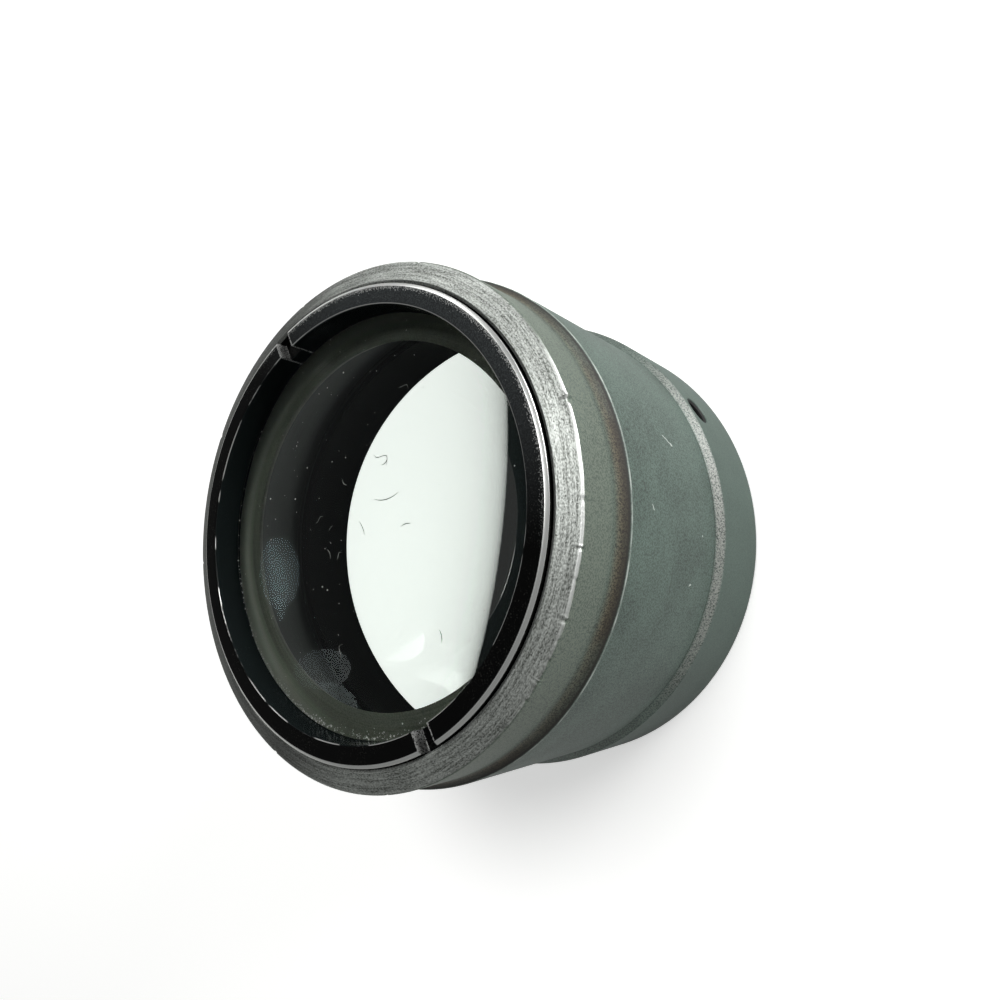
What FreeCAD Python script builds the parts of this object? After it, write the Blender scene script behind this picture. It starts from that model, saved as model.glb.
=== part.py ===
"""Objective lens of a telescope: two glass elements in a one-piece stepped steel cell.

The frame has its origin at the centre of the rear face, with +Z along the optical axis towards
the sky side of the lens and +Y through the lock hole. Lengths are in millimetres.

The radii grow outwards from the bore that holds the glass, and the heights are stacked from the
seat at its bottom: rear element, spacer, front element, retaining ring. The outside of the cell is
then measured back from its mouth.
"""
import FreeCAD, Part
import os
from enum import IntEnum

import Sketcher

# Driving dimensions
SIZES = {
    # Inside of the cell
    "glass_bore_radius": 26.4,
    "rear_seat_width": 1.2,
    "rear_seat_height": 10.1,
    "rear_mouth_chamfer": 1.4,
    "ring_thread_step": 0.75,
    "ring_thread_relief": 1.0,
    "mouth_chamfer": 0.4,
    # Outside of the cell, from the front backwards
    "front_wall": 2.85,
    "front_face_fall": 1.18,
    "front_edge_break": 0.15,
    "front_band_length": 5.85,
    "cove_depth": 0.85,
    "cove_radius": 3.0,
    "middle_band_length": 22.35,
    "step_depth": 0.85,
    "step_rise": 1.2,
    "rear_edge_chamfer": 0.4,
    # Blind lock hole in the wall of the rear band
    "lock_hole_radius": 1.75,
    "lock_hole_setback": 2.8,
    "lock_hole_depth": 3.2,
    "lock_hole_point": 1.05,
    "lock_hole_countersink": 0.35,
    # Glass elements
    "glass_clearance": 0.1,
    "glass_bevel": 0.35,
    "front_element_edge": 2.73,
    "front_element_front_curve": 120.0,
    "front_element_rear_curve": 67.0,
    "rear_element_thickness": 25.0,
    "rear_element_front_curve": 101.0,
    "rear_element_rear_curve": 120.0,
    "rear_element_land": 0.5,
    # Flat spacer between the elements
    "spacer_length": 1.18,
    "spacer_width": 4.9,
    # Retaining ring with two spanner slots
    "ring_width": 2.52,
    "ring_length": 3.4,
    "ring_stand_out": 0.42,
    "ring_thread_clearance": 0.09,
    "ring_bevel_width": 0.4,
    "ring_bevel_height": 0.25,
    "ring_tail_chamfer": 0.4,
    "slot_width": 2.3,
    "slot_depth": 1.6,
}

# The slots are this many degrees off the line square to the lock hole
SLOT_TURN_DEGREES = -1.8
SLOT_COUNT = 2
# A cutting profile runs this far past the solid that it cuts
OVERCUT = 1.0
POSITION_TOLERANCE = 1e-4


class SketchAxis(IntEnum):
    """Sketcher's numbers for the two axes of a sketch; the across axis also holds the origin."""

    ACROSS = -1
    UP = -2


class SketchPoint(IntEnum):
    """Sketcher's numbers for the points of one line or arc."""

    START = 1
    END = 2
    CENTRE = 3


START, END, CENTRE = SketchPoint
ORIGIN = (SketchAxis.ACROSS, START)

doc = FreeCAD.newDocument("ObjectiveLens")


def make_sheet():
    """Put the driving dimensions in a spreadsheet, one alias for each."""
    sheet = doc.addObject("Spreadsheet::Sheet", "Sizes")
    for row, (name, value) in enumerate(SIZES.items(), start=1):
        sheet.set(f"A{row}", name)
        sheet.set(f"B{row}", str(value))
        sheet.setAlias(f"B{row}", name)
    doc.recompute()
    return sheet


SHEET = make_sheet()


def size(name):
    """Expression that reads one driving dimension."""
    return f"Sizes.{name}"


def value_of(expression):
    """Number that an expression gives with the present sizes."""
    return float(SHEET.evalExpression(expression))


def sagitta(curve, radius):
    """Expression for the depth of a sphere of radius curve across a circle of the given radius."""
    return f"({curve} - sqrt({curve}^2 - ({radius})^2))"


# Radii, from the glass outwards and inwards
GLASS_RADIUS = f"({size('glass_bore_radius')} - {size('glass_clearance')})"
GLASS_LAND = f"({GLASS_RADIUS} - {size('glass_bevel')})"
THREAD_RADIUS = f"({size('glass_bore_radius')} + {size('ring_thread_step')})"
FRONT_RADIUS = f"({THREAD_RADIUS} + {size('front_wall')})"
MIDDLE_RADIUS = f"({FRONT_RADIUS} + {size('cove_depth')})"
REAR_RADIUS = f"({MIDDLE_RADIUS} + {size('step_depth')})"
MOUTH_RADIUS = f"({THREAD_RADIUS} + {size('mouth_chamfer')})"
REAR_BORE_RADIUS = f"({size('glass_bore_radius')} - {size('rear_seat_width')})"
HOLLOW_RADIUS = f"({GLASS_LAND} - {size('rear_element_land')})"
SPACER_BORE_RADIUS = f"({GLASS_RADIUS} - {size('spacer_width')})"
RING_RADIUS = f"({THREAD_RADIUS} - {size('ring_thread_clearance')})"
RING_BORE_RADIUS = f"({THREAD_RADIUS} - {size('ring_width')})"

# Heights of the stack, each piece seated on the one behind it
REAR_RIM_SAG = sagitta(size("front_element_rear_curve"), GLASS_LAND)
FRONT_RIM_SAG = sagitta(size("front_element_front_curve"), GLASS_LAND)
FRONT_THICKNESS = f"({size('front_element_edge')} + {REAR_RIM_SAG} + {FRONT_RIM_SAG})"
SEAT_SAG = sagitta(size("rear_element_rear_curve"), REAR_BORE_RADIUS)
HOLLOW_SAG = sagitta(size("rear_element_front_curve"), HOLLOW_RADIUS)
SPACER_SAG = sagitta(size("front_element_rear_curve"), SPACER_BORE_RADIUS)
RING_SAG = sagitta(size("front_element_front_curve"), RING_BORE_RADIUS)
REAR_ELEMENT_HEIGHT = f"({size('rear_seat_height')} - {SEAT_SAG})"
SPACER_HEIGHT = f"({REAR_ELEMENT_HEIGHT} + {size('rear_element_thickness')} + {HOLLOW_SAG})"
FRONT_ELEMENT_HEIGHT = f"({SPACER_HEIGHT} + {size('spacer_length')} - {SPACER_SAG})"
RING_HEIGHT = f"({FRONT_ELEMENT_HEIGHT} + {FRONT_THICKNESS} - {RING_SAG})"
THREAD_FLOOR_HEIGHT = f"({RING_HEIGHT} - {size('ring_thread_relief')})"

# Heights of the outside, from the mouth of the cell backwards
MOUTH_HEIGHT = f"({RING_HEIGHT} + {size('ring_length')} - {size('ring_stand_out')})"
FRONT_EDGE_HEIGHT = f"({MOUTH_HEIGHT} - {size('front_face_fall')})"
COVE_ROOT_HEIGHT = f"({FRONT_EDGE_HEIGHT} - {size('front_band_length')})"
COVE_RUN = f"sqrt(2 * {size('cove_radius')} * {size('cove_depth')} - {size('cove_depth')}^2)"
COVE_LIP_HEIGHT = f"({COVE_ROOT_HEIGHT} - {COVE_RUN})"
STEP_HEAD_HEIGHT = f"({COVE_LIP_HEIGHT} - {size('middle_band_length')})"
STEP_FOOT_HEIGHT = f"({STEP_HEAD_HEIGHT} - {size('step_rise')})"
LOCK_HOLE_HEIGHT = f"({STEP_FOOT_HEIGHT} - {size('lock_hole_setback')})"


def make_body(label, height=None):
    """Empty body, raised to its seat when a height is given."""
    body = doc.addObject("PartDesign::Body", label)
    body.Label = label
    if height is not None:
        body.setExpression("Placement.Base.z", height)
    return body


def make_sketch(body, name, role):
    """Sketch on one of the body's own origin planes, found by its role."""
    sketch = body.newObject("Sketcher::SketchObject", name)
    plane = next(item for item in body.Origin.OriginFeatures if item.Role == role)
    sketch.AttachmentSupport = [(plane, "")]
    sketch.MapMode = "FlatFace"
    return sketch


def name_and_bind(sketch, index, name, expression):
    """Give a constraint a name and bind its value to an expression."""
    sketch.renameConstraint(index, name)
    sketch.setExpression(f"Constraints.{name}", expression)


def pin_corner(sketch, vertex, name, across, up):
    """Tie a sketch point to its distances from the origin; None leaves that distance free."""
    for kind, axis, expression in (("DistanceX", SketchAxis.UP, across),
                                   ("DistanceY", SketchAxis.ACROSS, up)):
        if expression == "0":
            sketch.addConstraint(Sketcher.Constraint("PointOnObject", *vertex, axis))
        elif expression is not None:
            distance = Sketcher.Constraint(kind, *ORIGIN, *vertex, value_of(expression))
            name_and_bind(sketch, sketch.addConstraint(distance), f"{name}_{kind[-1]}", expression)


def draw_outline(sketch, corners):
    """Closed outline of straight lines through corners given as (name, across, up)."""
    points = [FreeCAD.Vector(value_of(across), value_of(up), 0) for _, across, up in corners]
    sides = [sketch.addGeometry(Part.LineSegment(point, following), False)
             for point, following in zip(points, points[1:] + points[:1])]
    for side, following, (name, across, up) in zip(sides, sides[1:] + sides[:1], corners):
        sketch.addConstraint(Sketcher.Constraint("Coincident", side, END, following, START))
        pin_corner(sketch, (side, START), name, across, up)
    return sides


def turn(body, sketch, kind, name, axis="V_Axis"):
    """Revolution that adds, or groove that cuts, once round an axis of the sketch."""
    turned = body.newObject(f"PartDesign::{kind}", name)
    turned.Profile = sketch
    turned.ReferenceAxis = (sketch, [axis])
    turned.Angle = 360.0
    advance_tip(body, turned)


def advance_tip(body, feature):
    """Make a feature the body's last one, and refuse a cut that removes nothing from the one before."""
    body.Tip = feature
    doc.recompute()
    earlier = feature.BaseFeature
    if earlier is not None and feature.Shape.Volume >= earlier.Shape.Volume:
        raise ValueError(f"{feature.Label} removed nothing")


def circle_edge(feature, radius, height):
    """Name of the circular edge of a turned solid with this radius at this height."""
    for index, edge in enumerate(feature.Shape.Edges, start=1):
        on_radius = abs(getattr(edge.Curve, "Radius", 0) - radius) < POSITION_TOLERANCE
        if on_radius and all(abs(vertex.Z - height) < POSITION_TOLERANCE for vertex in edge.Vertexes):
            return f"Edge{index}"
    raise ValueError(f"no edge of radius {radius} at height {height}")


def chamfer_edge(body, name, radius, height, width):
    """Chamfer on one circular edge of the body's present solid."""
    base = body.Tip
    chamfer = body.newObject("PartDesign::Chamfer", name)
    chamfer.Base = (base, [circle_edge(base, value_of(radius), value_of(height))])
    chamfer.setExpression("Size", size(width))
    advance_tip(body, chamfer)


def make_cell():
    """One-piece turned cell: three outer bands, glass bore, seat and bore behind it, ring thread."""
    body = make_body("cell")
    sketch = make_sketch(body, "CellProfile", "XZ_Plane")
    draw_outline(sketch, [
        ("rear_mouth", REAR_BORE_RADIUS, "0"),
        ("rear_edge", REAR_RADIUS, "0"),
        ("step_foot", REAR_RADIUS, STEP_FOOT_HEIGHT),
        ("step_head", MIDDLE_RADIUS, STEP_HEAD_HEIGHT),
        ("cove_lip", MIDDLE_RADIUS, COVE_LIP_HEIGHT),
        ("cove_root", FRONT_RADIUS, COVE_ROOT_HEIGHT),
        ("front_edge", FRONT_RADIUS, FRONT_EDGE_HEIGHT),
        ("mouth_crest", THREAD_RADIUS, MOUTH_HEIGHT),
        ("thread_floor", THREAD_RADIUS, THREAD_FLOOR_HEIGHT),
        ("bore_mouth", size("glass_bore_radius"), THREAD_FLOOR_HEIGHT),
        ("seat_root", size("glass_bore_radius"), size("rear_seat_height")),
        ("seat_corner", REAR_BORE_RADIUS, size("rear_seat_height")),
    ])
    turn(body, sketch, "Revolution", "Turned")
    cut_cove(body)
    chamfer_edge(body, "FrontEdgeBreak", FRONT_RADIUS, FRONT_EDGE_HEIGHT, "front_edge_break")
    chamfer_edge(body, "MouthChamfer", THREAD_RADIUS, MOUTH_HEIGHT, "mouth_chamfer")
    chamfer_edge(body, "RearEdgeChamfer", REAR_RADIUS, "0", "rear_edge_chamfer")
    chamfer_edge(body, "RearMouthChamfer", REAR_BORE_RADIUS, "0", "rear_mouth_chamfer")
    cut_lock_hole(body)
    return body


def cut_cove(body):
    """Hollow the slope between front and middle band with an arc that leaves the front band smoothly."""
    sketch = make_sketch(body, "CoveProfile", "XZ_Plane")
    root = FreeCAD.Vector(value_of(FRONT_RADIUS), value_of(COVE_ROOT_HEIGHT), 0)
    lip = FreeCAD.Vector(value_of(MIDDLE_RADIUS), value_of(COVE_LIP_HEIGHT), 0)
    outside = FreeCAD.Vector(lip.x + OVERCUT, lip.y, 0)
    corner = FreeCAD.Vector(outside.x, root.y, 0)
    hollow = value_of(size("cove_radius"))
    centre = root + FreeCAD.Vector(hollow, 0, 0)
    midway = centre + (root + lip - centre * 2).normalize() * hollow
    arc = sketch.addGeometry(Part.Arc(root, midway, lip), False)
    lower, outer, upper = (sketch.addGeometry(Part.LineSegment(*ends), False)
                           for ends in ((lip, outside), (outside, corner), (corner, root)))
    sketch.addConstraint([
        Sketcher.Constraint("Coincident", arc, START, upper, END),
        Sketcher.Constraint("Coincident", arc, END, lower, START),
        Sketcher.Constraint("Coincident", lower, END, outer, START),
        Sketcher.Constraint("Coincident", outer, END, upper, START),
        Sketcher.Constraint("Horizontal", lower),
        Sketcher.Constraint("Vertical", outer),
    ])
    pin_corner(sketch, (upper, END), "root", FRONT_RADIUS, COVE_ROOT_HEIGHT)
    pin_corner(sketch, (lower, START), "lip", MIDDLE_RADIUS, COVE_LIP_HEIGHT)
    pin_corner(sketch, (upper, START), "corner", f"{MIDDLE_RADIUS} + {OVERCUT}", COVE_ROOT_HEIGHT)
    radius = sketch.addConstraint(Sketcher.Constraint("Radius", arc, hollow))
    name_and_bind(sketch, radius, "hollow", size("cove_radius"))
    turn(body, sketch, "Groove", "Cove")


def cut_lock_hole(body):
    """Blind radial hole in the wall of the rear band, with a drill point and a small countersink."""
    sketch = make_sketch(body, "LockHoleProfile", "YZ_Plane")
    shoulder = f"({REAR_RADIUS} - {size('lock_hole_depth')})"
    flare_root = f"({REAR_RADIUS} - {size('lock_hole_countersink')})"
    outside = f"({REAR_RADIUS} + {OVERCUT})"
    wall = f"({LOCK_HOLE_HEIGHT} + {size('lock_hole_radius')})"
    sides = draw_outline(sketch, [
        ("drill_tip", f"{shoulder} - {size('lock_hole_point')}", LOCK_HOLE_HEIGHT),
        ("drill_shoulder", shoulder, wall),
        ("flare_root", flare_root, wall),
        ("flare_rim", outside, f"{wall} + {size('lock_hole_countersink')} + {OVERCUT}"),
        ("mouth", outside, LOCK_HOLE_HEIGHT),
    ])
    turn(body, sketch, "Groove", "LockHole", f"Edge{sides[-1] + 1}")


def make_ball(label, curve, centre_height):
    """Sphere of a polished surface, with its poles off the optical axis and so off the glass."""
    ball = doc.addObject("Part::Sphere", label)
    ball.Label = label
    ball.setExpression("Radius", curve)
    ball.Placement.Rotation = FreeCAD.Rotation(FreeCAD.Vector(0, 1, 0), 90)
    ball.setExpression("Placement.Base.z", centre_height)
    return ball


def make_front_element():
    """Biconvex front element: a bevelled blank within two spheres; z = 0 at its rear vertex."""
    body = make_body("front_blank")
    sketch = make_sketch(body, "FrontBlankProfile", "XZ_Plane")
    front_curve = size("front_element_front_curve")
    rear_curve = size("front_element_rear_curve")
    rear_rim = f"({REAR_RIM_SAG} + {size('glass_bevel')})"
    front_rim = f"({FRONT_THICKNESS} - {FRONT_RIM_SAG} - {size('glass_bevel')})"
    draw_outline(sketch, [
        ("rear_apex", "0", f"{rear_rim} - {GLASS_RADIUS}"),
        ("rear_rim", GLASS_RADIUS, rear_rim),
        ("front_rim", GLASS_RADIUS, front_rim),
        ("front_apex", "0", f"{front_rim} + {GLASS_RADIUS}"),
    ])
    turn(body, sketch, "Revolution", "FrontBlankTurned")
    lens = doc.addObject("Part::MultiCommon", "front_element")
    lens.Label = "front_element"
    lens.Shapes = [
        body,
        make_ball("front_surface", front_curve, f"{FRONT_THICKNESS} - {front_curve}"),
        make_ball("rear_surface", rear_curve, rear_curve),
    ]
    lens.setExpression("Placement.Base.z", FRONT_ELEMENT_HEIGHT)
    return lens


def make_rear_element():
    """Thick rear element, hollow in front and bulging behind; z = 0 at its rear vertex."""
    body = make_body("rear_blank")
    sketch = make_sketch(body, "RearBlankProfile", "XZ_Plane")
    thickness = size("rear_element_thickness")
    front_curve = size("rear_element_front_curve")
    rear_curve = size("rear_element_rear_curve")
    rear_rim = f"({sagitta(rear_curve, GLASS_LAND)} + {size('glass_bevel')})"
    front_land = f"({thickness} + {HOLLOW_SAG})"
    draw_outline(sketch, [
        ("rear_apex", "0", f"{rear_rim} - {GLASS_RADIUS}"),
        ("rear_rim", GLASS_RADIUS, rear_rim),
        ("front_rim", GLASS_RADIUS, f"{front_land} - {size('glass_bevel')}"),
        ("front_land", GLASS_LAND, front_land),
        ("front_centre", "0", front_land),
    ])
    turn(body, sketch, "Revolution", "RearBlankTurned")
    bulged = doc.addObject("Part::MultiCommon", "rear_bulged")
    bulged.Label = "rear_bulged"
    bulged.Shapes = [body, make_ball("bulge_surface", rear_curve, rear_curve)]
    doc.recompute()
    lens = doc.addObject("Part::Cut", "rear_element")
    lens.Label = "rear_element"
    lens.Base = bulged
    lens.Tool = make_ball("hollow_surface", front_curve, f"{thickness} + {front_curve}")
    lens.setExpression("Placement.Base.z", REAR_ELEMENT_HEIGHT)
    doc.recompute()
    if not lens.Shape.Volume < bulged.Shape.Volume < body.Shape.Volume:
        raise ValueError("a polished surface removed nothing")
    return lens


def make_spacer():
    """Flat spacer between the rims of the elements; z = 0 at its rear side."""
    body = make_body("spacer", SPACER_HEIGHT)
    sketch = make_sketch(body, "SpacerProfile", "XZ_Plane")
    draw_outline(sketch, [
        ("bore_rear", SPACER_BORE_RADIUS, "0"),
        ("outer_rear", GLASS_RADIUS, "0"),
        ("outer_front", GLASS_RADIUS, size("spacer_length")),
        ("bore_front", SPACER_BORE_RADIUS, size("spacer_length")),
    ])
    turn(body, sketch, "Revolution", "SpacerTurned")
    return body


def make_retaining_ring():
    """Threaded ring that clamps the glass, with two slots for a spanner; z = 0 at its rear end."""
    body = make_body("retaining_ring", RING_HEIGHT)
    body.Placement.Rotation = FreeCAD.Rotation(FreeCAD.Vector(0, 0, 1), SLOT_TURN_DEGREES)
    sketch = make_sketch(body, "RingProfile", "XZ_Plane")
    draw_outline(sketch, [
        ("bore_rear", RING_BORE_RADIUS, "0"),
        ("tail_rear", f"{RING_RADIUS} - {size('ring_tail_chamfer')}", "0"),
        ("tail_front", RING_RADIUS, size("ring_tail_chamfer")),
        ("bevel_outer", RING_RADIUS, f"{size('ring_length')} - {size('ring_bevel_height')}"),
        ("bevel_inner", f"{RING_RADIUS} - {size('ring_bevel_width')}", size("ring_length")),
        ("bore_front", RING_BORE_RADIUS, size("ring_length")),
    ])
    turn(body, sketch, "Revolution", "RingTurned")
    cut_spanner_slots(body)
    return body


def cut_spanner_slots(body):
    """Two radial slots across the front face of the ring, one opposite the other."""
    sketch = make_sketch(body, "SlotProfile", "XY_Plane")
    sketch.setExpression("AttachmentOffset.Base.z", size("ring_length"))
    inner = f"{RING_BORE_RADIUS} - {OVERCUT}"
    outer = f"{RING_RADIUS} + {OVERCUT}"
    half = f"{size('slot_width')} / 2"
    draw_outline(sketch, [
        ("inner_low", inner, f"-{half}"),
        ("outer_low", outer, f"-{half}"),
        ("outer_high", outer, half),
        ("inner_high", inner, half),
    ])
    slot = body.newObject("PartDesign::Pocket", "SpannerSlot")
    slot.Profile = sketch
    slot.setExpression("Length", size("slot_depth"))
    advance_tip(body, slot)
    pattern = body.newObject("PartDesign::PolarPattern", "SpannerSlots")
    pattern.Originals = [slot]
    pattern.Axis = (sketch, ["N_Axis"])
    pattern.Angle = 360.0
    pattern.Occurrences = SLOT_COUNT
    advance_tip(body, pattern)


def check_and_write(pieces):
    """Refuse a failed object or an unsound solid, then write each sub-part to its own file."""
    doc.recompute()
    for item in doc.Objects:
        if "Invalid" in item.State or "Error" in item.State:
            raise RuntimeError(f"{item.Label} failed: {item.State}")
    for piece in pieces:
        if piece.Shape.isNull() or not piece.Shape.isValid():
            raise RuntimeError(f"{piece.Label} has no sound solid")
    os.makedirs("parts", exist_ok=True)
    for piece in pieces:
        piece.Shape.exportStep(f"parts/{piece.Label}.step")
        box = piece.Shape.BoundBox
        print(f"{piece.Label}: {len(piece.Shape.Solids)} solid, {piece.Shape.Volume:.1f} mm3, "
              f"z {box.ZMin:.2f} to {box.ZMax:.2f}")


check_and_write([
    make_cell(),
    make_rear_element(),
    make_spacer(),
    make_front_element(),
    make_retaining_ring(),
])
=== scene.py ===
"""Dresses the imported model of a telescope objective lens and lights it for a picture.

The cell is phosphated steel worn bare at its edges, the ring is blackened steel, and the two
elements are polished glass with ground edges. Shapes are worked out in millimetres in the frame
of the part, where +Z is the optical axis towards the sky side, and turned to metres when a mesh
is made.
"""

from __future__ import annotations

import logging
import math
from collections.abc import Callable, Sequence
from dataclasses import dataclass, field
from enum import Enum

import bmesh
import bpy
import numpy as np
from mathutils import Matrix, Vector

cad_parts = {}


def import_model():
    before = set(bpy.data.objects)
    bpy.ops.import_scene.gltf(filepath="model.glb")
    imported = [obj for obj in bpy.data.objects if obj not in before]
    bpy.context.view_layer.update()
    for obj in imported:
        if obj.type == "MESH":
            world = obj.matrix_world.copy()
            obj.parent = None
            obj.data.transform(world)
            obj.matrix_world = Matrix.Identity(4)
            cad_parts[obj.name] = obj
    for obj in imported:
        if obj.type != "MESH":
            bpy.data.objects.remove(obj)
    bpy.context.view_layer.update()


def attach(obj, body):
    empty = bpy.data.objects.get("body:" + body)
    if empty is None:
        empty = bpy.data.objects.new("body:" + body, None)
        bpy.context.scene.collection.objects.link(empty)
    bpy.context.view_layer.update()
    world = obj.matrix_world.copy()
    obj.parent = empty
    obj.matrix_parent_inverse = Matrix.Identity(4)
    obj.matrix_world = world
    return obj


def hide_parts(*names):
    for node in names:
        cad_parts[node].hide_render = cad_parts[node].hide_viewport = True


LOG = logging.getLogger("objective")
MM = 0.001
BODY = "root"
IMAGE_SIDE = 1000
# Edges that turn by more than this stay sharp
CREASE_DEGREES = 35.0
# Points of a mesh that are closer than this, in metres, are one
MERGE_DISTANCE = 1e-7

Colour = tuple[float, float, float, float]
Grid = tuple[np.ndarray, np.ndarray, np.ndarray]
Shape = Callable[[np.ndarray, np.ndarray, np.ndarray], Grid]
Socket = bpy.types.NodeSocket


class Layer(Enum):
    """Which of a piece's finishes a stretch of its outline takes."""

    MAIN = 0
    EDGE = 1


def linear(code: str) -> Colour:
    """Turns an sRGB hex value into the linear colour that a shader takes.

    Args:
        code: Six hex digits, such as "607068".

    Returns:
        Red, green, blue and an alpha of one.
    """
    channels = [int(code[at : at + 2], 16) / 255 for at in (0, 2, 4)]
    red, green, blue = (c / 12.92 if c <= 0.04045 else ((c + 0.055) / 1.055) ** 2.4 for c in channels)
    return red, green, blue, 1.0


class Graph:
    """Node tree of a material or of the world, with the one function that adds a node."""

    def __init__(self, owner: bpy.types.Material | bpy.types.World) -> None:
        """Empties the owner's tree."""
        owner.use_nodes = True
        self.owner = owner
        self.tree = owner.node_tree
        self.tree.nodes.clear()

    def add(self, kind: str, inputs: dict | None = None, out: int | str = 0, **settings) -> Socket:
        """Adds one node, sets it up and links it.

        Args:
            kind: Node type without its ShaderNode prefix.
            inputs: Socket number or name, and the value or the other node's socket that it takes.
            out: Output socket wanted.
            **settings: Properties of the node itself.

        Returns:
            The wanted output socket.
        """
        node = self.tree.nodes.new("ShaderNode" + kind)
        for name, value in settings.items():
            setattr(node, name, value)
        for key, value in (inputs or {}).items():
            if isinstance(value, Socket):
                self.tree.links.new(value, node.inputs[key])
            else:
                node.inputs[key].default_value = value
        return node.outputs[out] if node.outputs else None

    def math(self, operation: str, *values: Socket | float) -> Socket:
        """Adds a node that works on numbers."""
        return self.add("Math", dict(enumerate(values)), operation=operation)

    def vector(self, operation: str, *values: Socket | Sequence[float], out: int | str = 0) -> Socket:
        """Adds a node that works on vectors."""
        return self.add("VectorMath", dict(enumerate(values)), out, operation=operation)


@dataclass
class TurnedFields:
    """New material with the sockets that give a point's place on a turned piece, in millimetres."""

    name: str
    graph: Graph = field(init=False)
    point: Socket = field(init=False)
    radius: Socket = field(init=False)
    height: Socket = field(init=False)
    around: Socket = field(init=False)
    wandering: Socket = field(init=False)

    def __post_init__(self) -> None:
        """Reads object coordinates and splits them into radius, height and direction round the axis."""
        self.graph = Graph(bpy.data.materials.new(self.name))
        add, vector = self.graph.add, self.graph.vector
        metres = add("TexCoord", out="Object")
        self.point = add("VectorMath", {0: metres, "Scale": 1 / MM}, operation="SCALE")
        self.height = add("SeparateXYZ", {0: self.point}, out="Z")
        flat = vector("MULTIPLY", self.point, (1.0, 1.0, 0.0))
        self.radius = vector("LENGTH", flat, out="Value")
        self.around = vector("NORMALIZE", flat)
        shake = add("TexNoise", {"Vector": self.point, "Scale": 0.9, "Detail": 3.0}, out="Color")
        shake = vector("SUBTRACT", shake, (0.5, 0.5, 0.5))
        self.wandering = vector("MULTIPLY_ADD", shake, (0.9, 0.9, 0.9), self.point)

    def step(self, value: Socket, low: float, high: float) -> Socket:
        """Smooth step from 0 at low to 1 at high; the other way round where low is the larger."""
        swap = low > high
        limits = {0: value, 1: min(low, high), 2: max(low, high), 3: float(swap), 4: float(not swap)}
        return self.graph.add("MapRange", limits, interpolation_type="SMOOTHSTEP")

    def band(self, value: Socket, low: float, high: float, soft: float) -> Socket:
        """One between low and high, and zero outside, with soft ends."""
        rise = self.step(value, low - soft, low + soft)
        fall = self.step(value, high + soft, high - soft)
        return self.times(rise, fall)

    def times(self, first: Socket | float, second: Socket | float) -> Socket:
        """Product of two values."""
        return self.graph.math("MULTIPLY", first, second)

    def most(self, first: Socket | float, second: Socket | float) -> Socket:
        """Larger of two values."""
        return self.graph.math("MAXIMUM", first, second)

    def blend(self, share: Socket | float, first: Socket | str, second: Socket | str) -> Socket:
        """Colour that goes from the first to the second, each a link or a hex value, with share."""
        first, second = (linear(end) if isinstance(end, str) else end for end in (first, second))
        return self.graph.add("Mix", {0: share, 6: first, 7: second}, out=2, data_type="RGBA")

    def level(self, share: Socket | float, first: Socket | float, second: Socket | float) -> Socket:
        """Number that goes from the first to the second as share goes from 0 to 1."""
        return self.graph.add("Mix", {0: share, 2: first, 3: second}, data_type="FLOAT")

    def grain(self, size: float, detail: float = 2.0, rough: float = 0.5) -> Socket:
        """Noise with lumps of about the given size in mm, the same in all directions."""
        inputs = {"Vector": self.point, "Scale": 1 / size, "Detail": detail, "Roughness": rough}
        return self.graph.add("TexNoise", inputs)

    def streaks(self, length: float, width: float, detail: float = 2.0) -> Socket:
        """Noise drawn out round the axis, as a turning tool leaves it.

        The direction round the axis, scaled by 30 / length, is the noise's vector, and its fourth
        coordinate is (height + 2 x radius) / width, so lines run round the piece, with no seam.
        """
        add = self.graph.add
        vector = add("VectorMath", {0: self.around, "Scale": 30 / length}, operation="SCALE")
        across = self.graph.math("MULTIPLY_ADD", self.radius, 2.0, self.height)
        fourth = self.times(across, 1 / width)
        inputs = {"Vector": vector, "W": fourth, "Scale": 1.0, "Detail": detail}
        return add("TexNoise", inputs, noise_dimensions="4D")

    def finish(self, bump: Socket | None, depth: float, **sockets) -> bpy.types.Material:
        """Closes the material with a Principled shader.

        Args:
            bump: Height pattern from 0 to 1, or None for a smooth surface.
            depth: How high that pattern stands, in mm.
            **sockets: Values or links of the shader, underscores standing for spaces.

        Returns:
            The finished material.
        """
        inputs = {name.replace("_", " "): value for name, value in sockets.items()}
        if bump is not None:
            relief = {"Height": bump, "Distance": depth * MM, "Strength": 1.0}
            inputs["Normal"] = self.graph.add("Bump", relief)
        shader = self.graph.add("BsdfPrincipled", inputs)
        self.graph.add("OutputMaterial", {"Surface": shader})
        return self.graph.owner


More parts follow.
